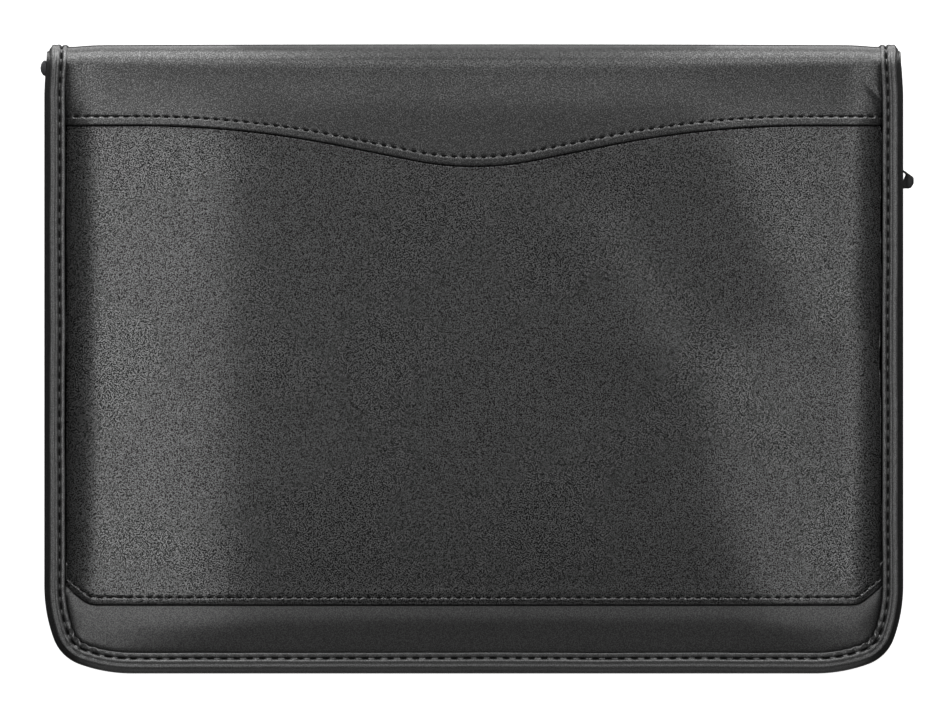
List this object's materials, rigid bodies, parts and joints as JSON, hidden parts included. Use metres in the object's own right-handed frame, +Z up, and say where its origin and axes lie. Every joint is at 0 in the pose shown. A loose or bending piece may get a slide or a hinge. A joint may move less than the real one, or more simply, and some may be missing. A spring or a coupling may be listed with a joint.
{
  "type": "zippered padfolio",
  "caption": "Padded black leather padfolio with a waved yoke, bound edges and a zip round three sides; opens flat on a folding spine to a writing pad, document pocket, card slots and pen loop.",
  "frame": {"origin": "on the resting plane, below the middle of the covers' outline", "axes": "+X along the spine, +Y towards the spine, +Z up out of the front cover; lies on its rear cover"},
  "size_m": [0.3616, 0.2608, 0.0349],
  "materials": {
    "black_leather": "fine grain, low sheen",
    "lining_fabric": "plain weave",
    "stiff_board": "raw board",
    "padding": "soft foam",
    "zip_tape": "herringbone tape",
    "zip_coil": "satin nylon",
    "black_metal": "black lacquer",
    "paper": "uncoated, ruled",
    "grey_card": "raw card",
    "pad_tape": "bound strip",
    "elastic": "ribbed webbing"
  },
  "bodies": {
    "rear_cover": {"rear_leather": "black_leather", "rear_foam": "padding", "rear_board": "stiff_board", "rear_lining": "lining_fabric", "rear_binding": "black_leather", "rear_zipper_tape": "zip_tape", "rear_zipper_teeth": "zip_coil", "rear_zip_stops": "black_metal", "rear_tape_end_tab": "zip_tape", "pad_pocket": "lining_fabric", "pad_backing": "grey_card", "pad_sheets": "paper", "pad_header": "pad_tape", "rear_fold_leather": "black_leather", "rear_fold_lining": "lining_fabric", "rear_fold_binding": "black_leather"},
    "spine": {"spine_leather": "black_leather", "spine_stiffener": "stiff_board", "spine_lining": "lining_fabric", "spine_binding": "black_leather"},
    "front_cover": {"front_fold_leather": "black_leather", "front_fold_lining": "lining_fabric", "front_fold_binding": "black_leather", "front_hem_panel": "black_leather", "front_main_panel": "black_leather", "front_yoke": "black_leather", "front_foam": "padding", "front_board": "stiff_board", "front_lining": "lining_fabric", "front_binding": "black_leather", "front_zipper_tape": "zip_tape", "front_zipper_teeth": "zip_coil", "front_zip_stops": "black_metal", "front_tape_end_tab": "zip_tape", "document_pocket": "lining_fabric", "document_pocket_gusset": "lining_fabric", "card_slot_back": "lining_fabric", "card_slot_middle": "lining_fabric", "card_slot_front": "lining_fabric", "pen_loop": "elastic"},
    "slider": {"zipper_slider": "black_metal"},
    "pull": {"pull_tab": "black_metal"}
  },
  "joints": [
    {"name": "spine_fold", "type": "hinge", "parent": "rear_cover", "child": "spine", "pos_m": [0, 0.12825, 0.00215], "axis": [-1, 0, 0], "range_deg": [0, 90], "deforming": ["rear_fold_leather", "rear_fold_lining", "rear_fold_binding"]},
    {"name": "front_fold", "type": "hinge", "parent": "spine", "child": "front_cover", "pos_m": [0, 0.12825, 0.03275], "axis": [-1, 0, 0], "range_deg": [0, 90], "deforming": ["front_fold_leather", "front_fold_lining", "front_fold_binding"]},
    {"name": "slider_travel", "type": "slide", "parent": "rear_cover", "child": "slider", "axis": [0, -1, 0], "range_m": [0, 0.16]},
    {"name": "pull_swing", "type": "hinge", "parent": "slider", "child": "pull", "pos_m": [0.17755, 0.0747, 0.01655], "axis": [0, 0, 1], "range_deg": [0, 170]}
  ]
}
